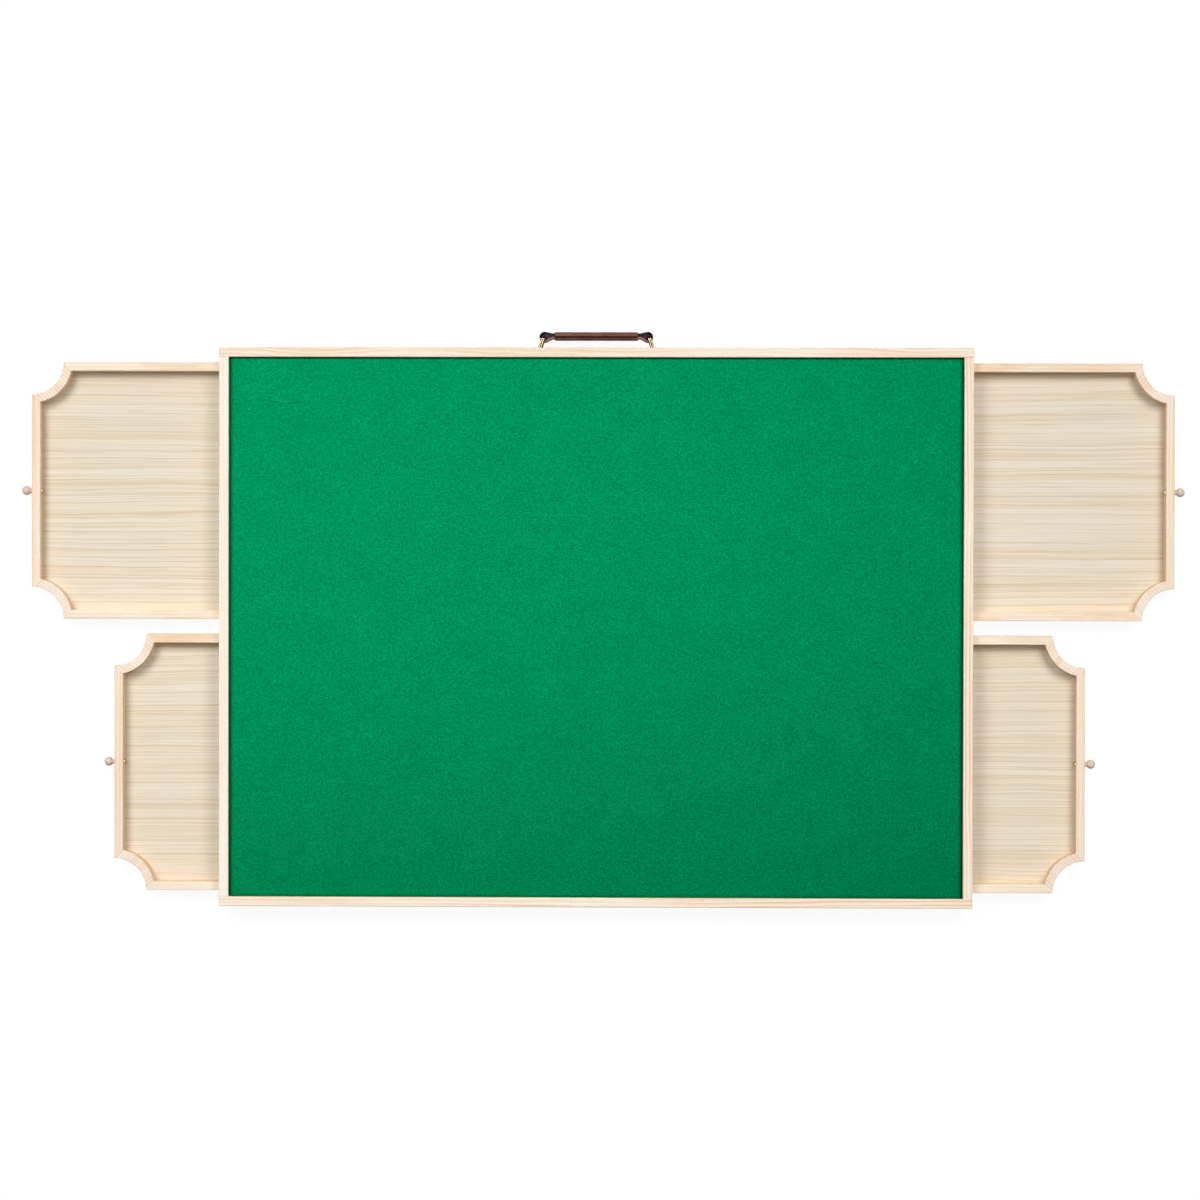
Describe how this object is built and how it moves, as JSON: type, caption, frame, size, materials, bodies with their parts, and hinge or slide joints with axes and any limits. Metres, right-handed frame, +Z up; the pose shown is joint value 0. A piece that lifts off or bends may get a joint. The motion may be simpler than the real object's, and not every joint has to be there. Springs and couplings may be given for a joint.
{
  "type": "jigsaw puzzle board with drawers",
  "caption": "Flat wooden puzzle board with a felt work surface inside a raised lip, scalloped sorting drawers that slide out of both ends, and a leather carrying handle.",
  "frame": {"origin": "on the surface that the board lies on, under the middle of its case", "axes": "+X to the right along the long rails, +Y to the back, where the handle is, +Z up"},
  "size_m": [1.221, 0.6014, 0.044],
  "materials": {
    "pine": "clear satin",
    "plywood": "clear matt",
    "fibreboard": "raw",
    "beech": "clear satin",
    "felt": "napped",
    "brass": "polished",
    "screw_steel": "zinc",
    "leather_strap": "semi-gloss",
    "leather_grip": "semi-gloss",
    "rubber": "matt"
  },
  "bodies": {
    "case": {"back_rail": "pine", "front_rail": "pine", "left_end_rail": "pine", "right_end_rail": "pine", "centre_divider": "pine", "back_stop_bar": "pine", "front_stop_bar": "pine", "corner_dowels": "beech", "stop_bar_dowels": "beech", "work_panel": "fibreboard", "felt_sheet": "felt", "bottom_board": "plywood", "bottom_screws": "screw_steel", "anti_slip_pads": "rubber", "left_handle_plate": "brass", "right_handle_plate": "brass", "handle_plate_screws": "brass"},
    "back_left_drawer": {"back_left_drawer_front": "pine", "back_left_drawer_rear": "pine", "back_left_drawer_right_side": "pine", "back_left_drawer_left_side": "pine", "back_left_drawer_right_scallop": "pine", "back_left_drawer_left_scallop": "pine", "back_left_drawer_floor": "plywood", "back_left_drawer_knob": "beech", "back_left_drawer_knob_screw": "brass"},
    "back_right_drawer": {"back_right_drawer_front": "pine", "back_right_drawer_rear": "pine", "back_right_drawer_right_side": "pine", "back_right_drawer_left_side": "pine", "back_right_drawer_right_scallop": "pine", "back_right_drawer_left_scallop": "pine", "back_right_drawer_floor": "plywood", "back_right_drawer_knob": "beech", "back_right_drawer_knob_screw": "brass"},
    "front_left_drawer": {"front_left_drawer_front": "pine", "front_left_drawer_rear": "pine", "front_left_drawer_right_side": "pine", "front_left_drawer_left_side": "pine", "front_left_drawer_right_scallop": "pine", "front_left_drawer_left_scallop": "pine", "front_left_drawer_floor": "plywood", "front_left_drawer_knob": "beech", "front_left_drawer_knob_screw": "brass"},
    "front_right_drawer": {"front_right_drawer_front": "pine", "front_right_drawer_rear": "pine", "front_right_drawer_right_side": "pine", "front_right_drawer_left_side": "pine", "front_right_drawer_right_scallop": "pine", "front_right_drawer_left_scallop": "pine", "front_right_drawer_floor": "plywood", "front_right_drawer_knob": "beech", "front_right_drawer_knob_screw": "brass"},
    "left_ring": {"left_handle_ring": "brass"},
    "right_ring": {"right_handle_ring": "brass"},
    "handle": {"handle_strap": "leather_strap", "handle_grip": "leather_grip"}
  },
  "joints": [
    {"name": "back_left_drawer_slide", "type": "slide", "parent": "case", "child": "back_left_drawer", "axis": [-1, 0, 0], "range_m": [-0.199, 0.161]},
    {"name": "back_right_drawer_slide", "type": "slide", "parent": "case", "child": "back_right_drawer", "axis": [1, 0, 0], "range_m": [-0.211, 0.149]},
    {"name": "front_left_drawer_slide", "type": "slide", "parent": "case", "child": "front_left_drawer", "axis": [-1, 0, 0], "range_m": [-0.112, 0.248]},
    {"name": "front_right_drawer_slide", "type": "slide", "parent": "case", "child": "front_right_drawer", "axis": [1, 0, 0], "range_m": [-0.1185, 0.2415]},
    {"name": "left_ring_swing", "type": "hinge", "parent": "case", "child": "left_ring", "pos_m": [-0.06009, 0.2887, 0.023], "axis": [0, 0, 1], "range_deg": [-12, 12]},
    {"name": "right_ring_swing", "type": "hinge", "parent": "case", "child": "right_ring", "pos_m": [0.06009, 0.2887, 0.023], "axis": [0, 0, 1], "range_deg": [-12, 12]},
    {"name": "handle_turn", "type": "hinge", "parent": "left_ring", "child": "handle", "pos_m": [-0.055, 0.3039, 0.023], "axis": [0, 0, 1], "range_deg": [-13.2, 13.2]}
  ],
  "couplings": [
    {"joint": "right_ring_swing", "follows": "left_ring_swing", "ratio": 1},
    {"joint": "handle_turn", "follows": "left_ring_swing", "ratio": -1.0925}
  ]
}
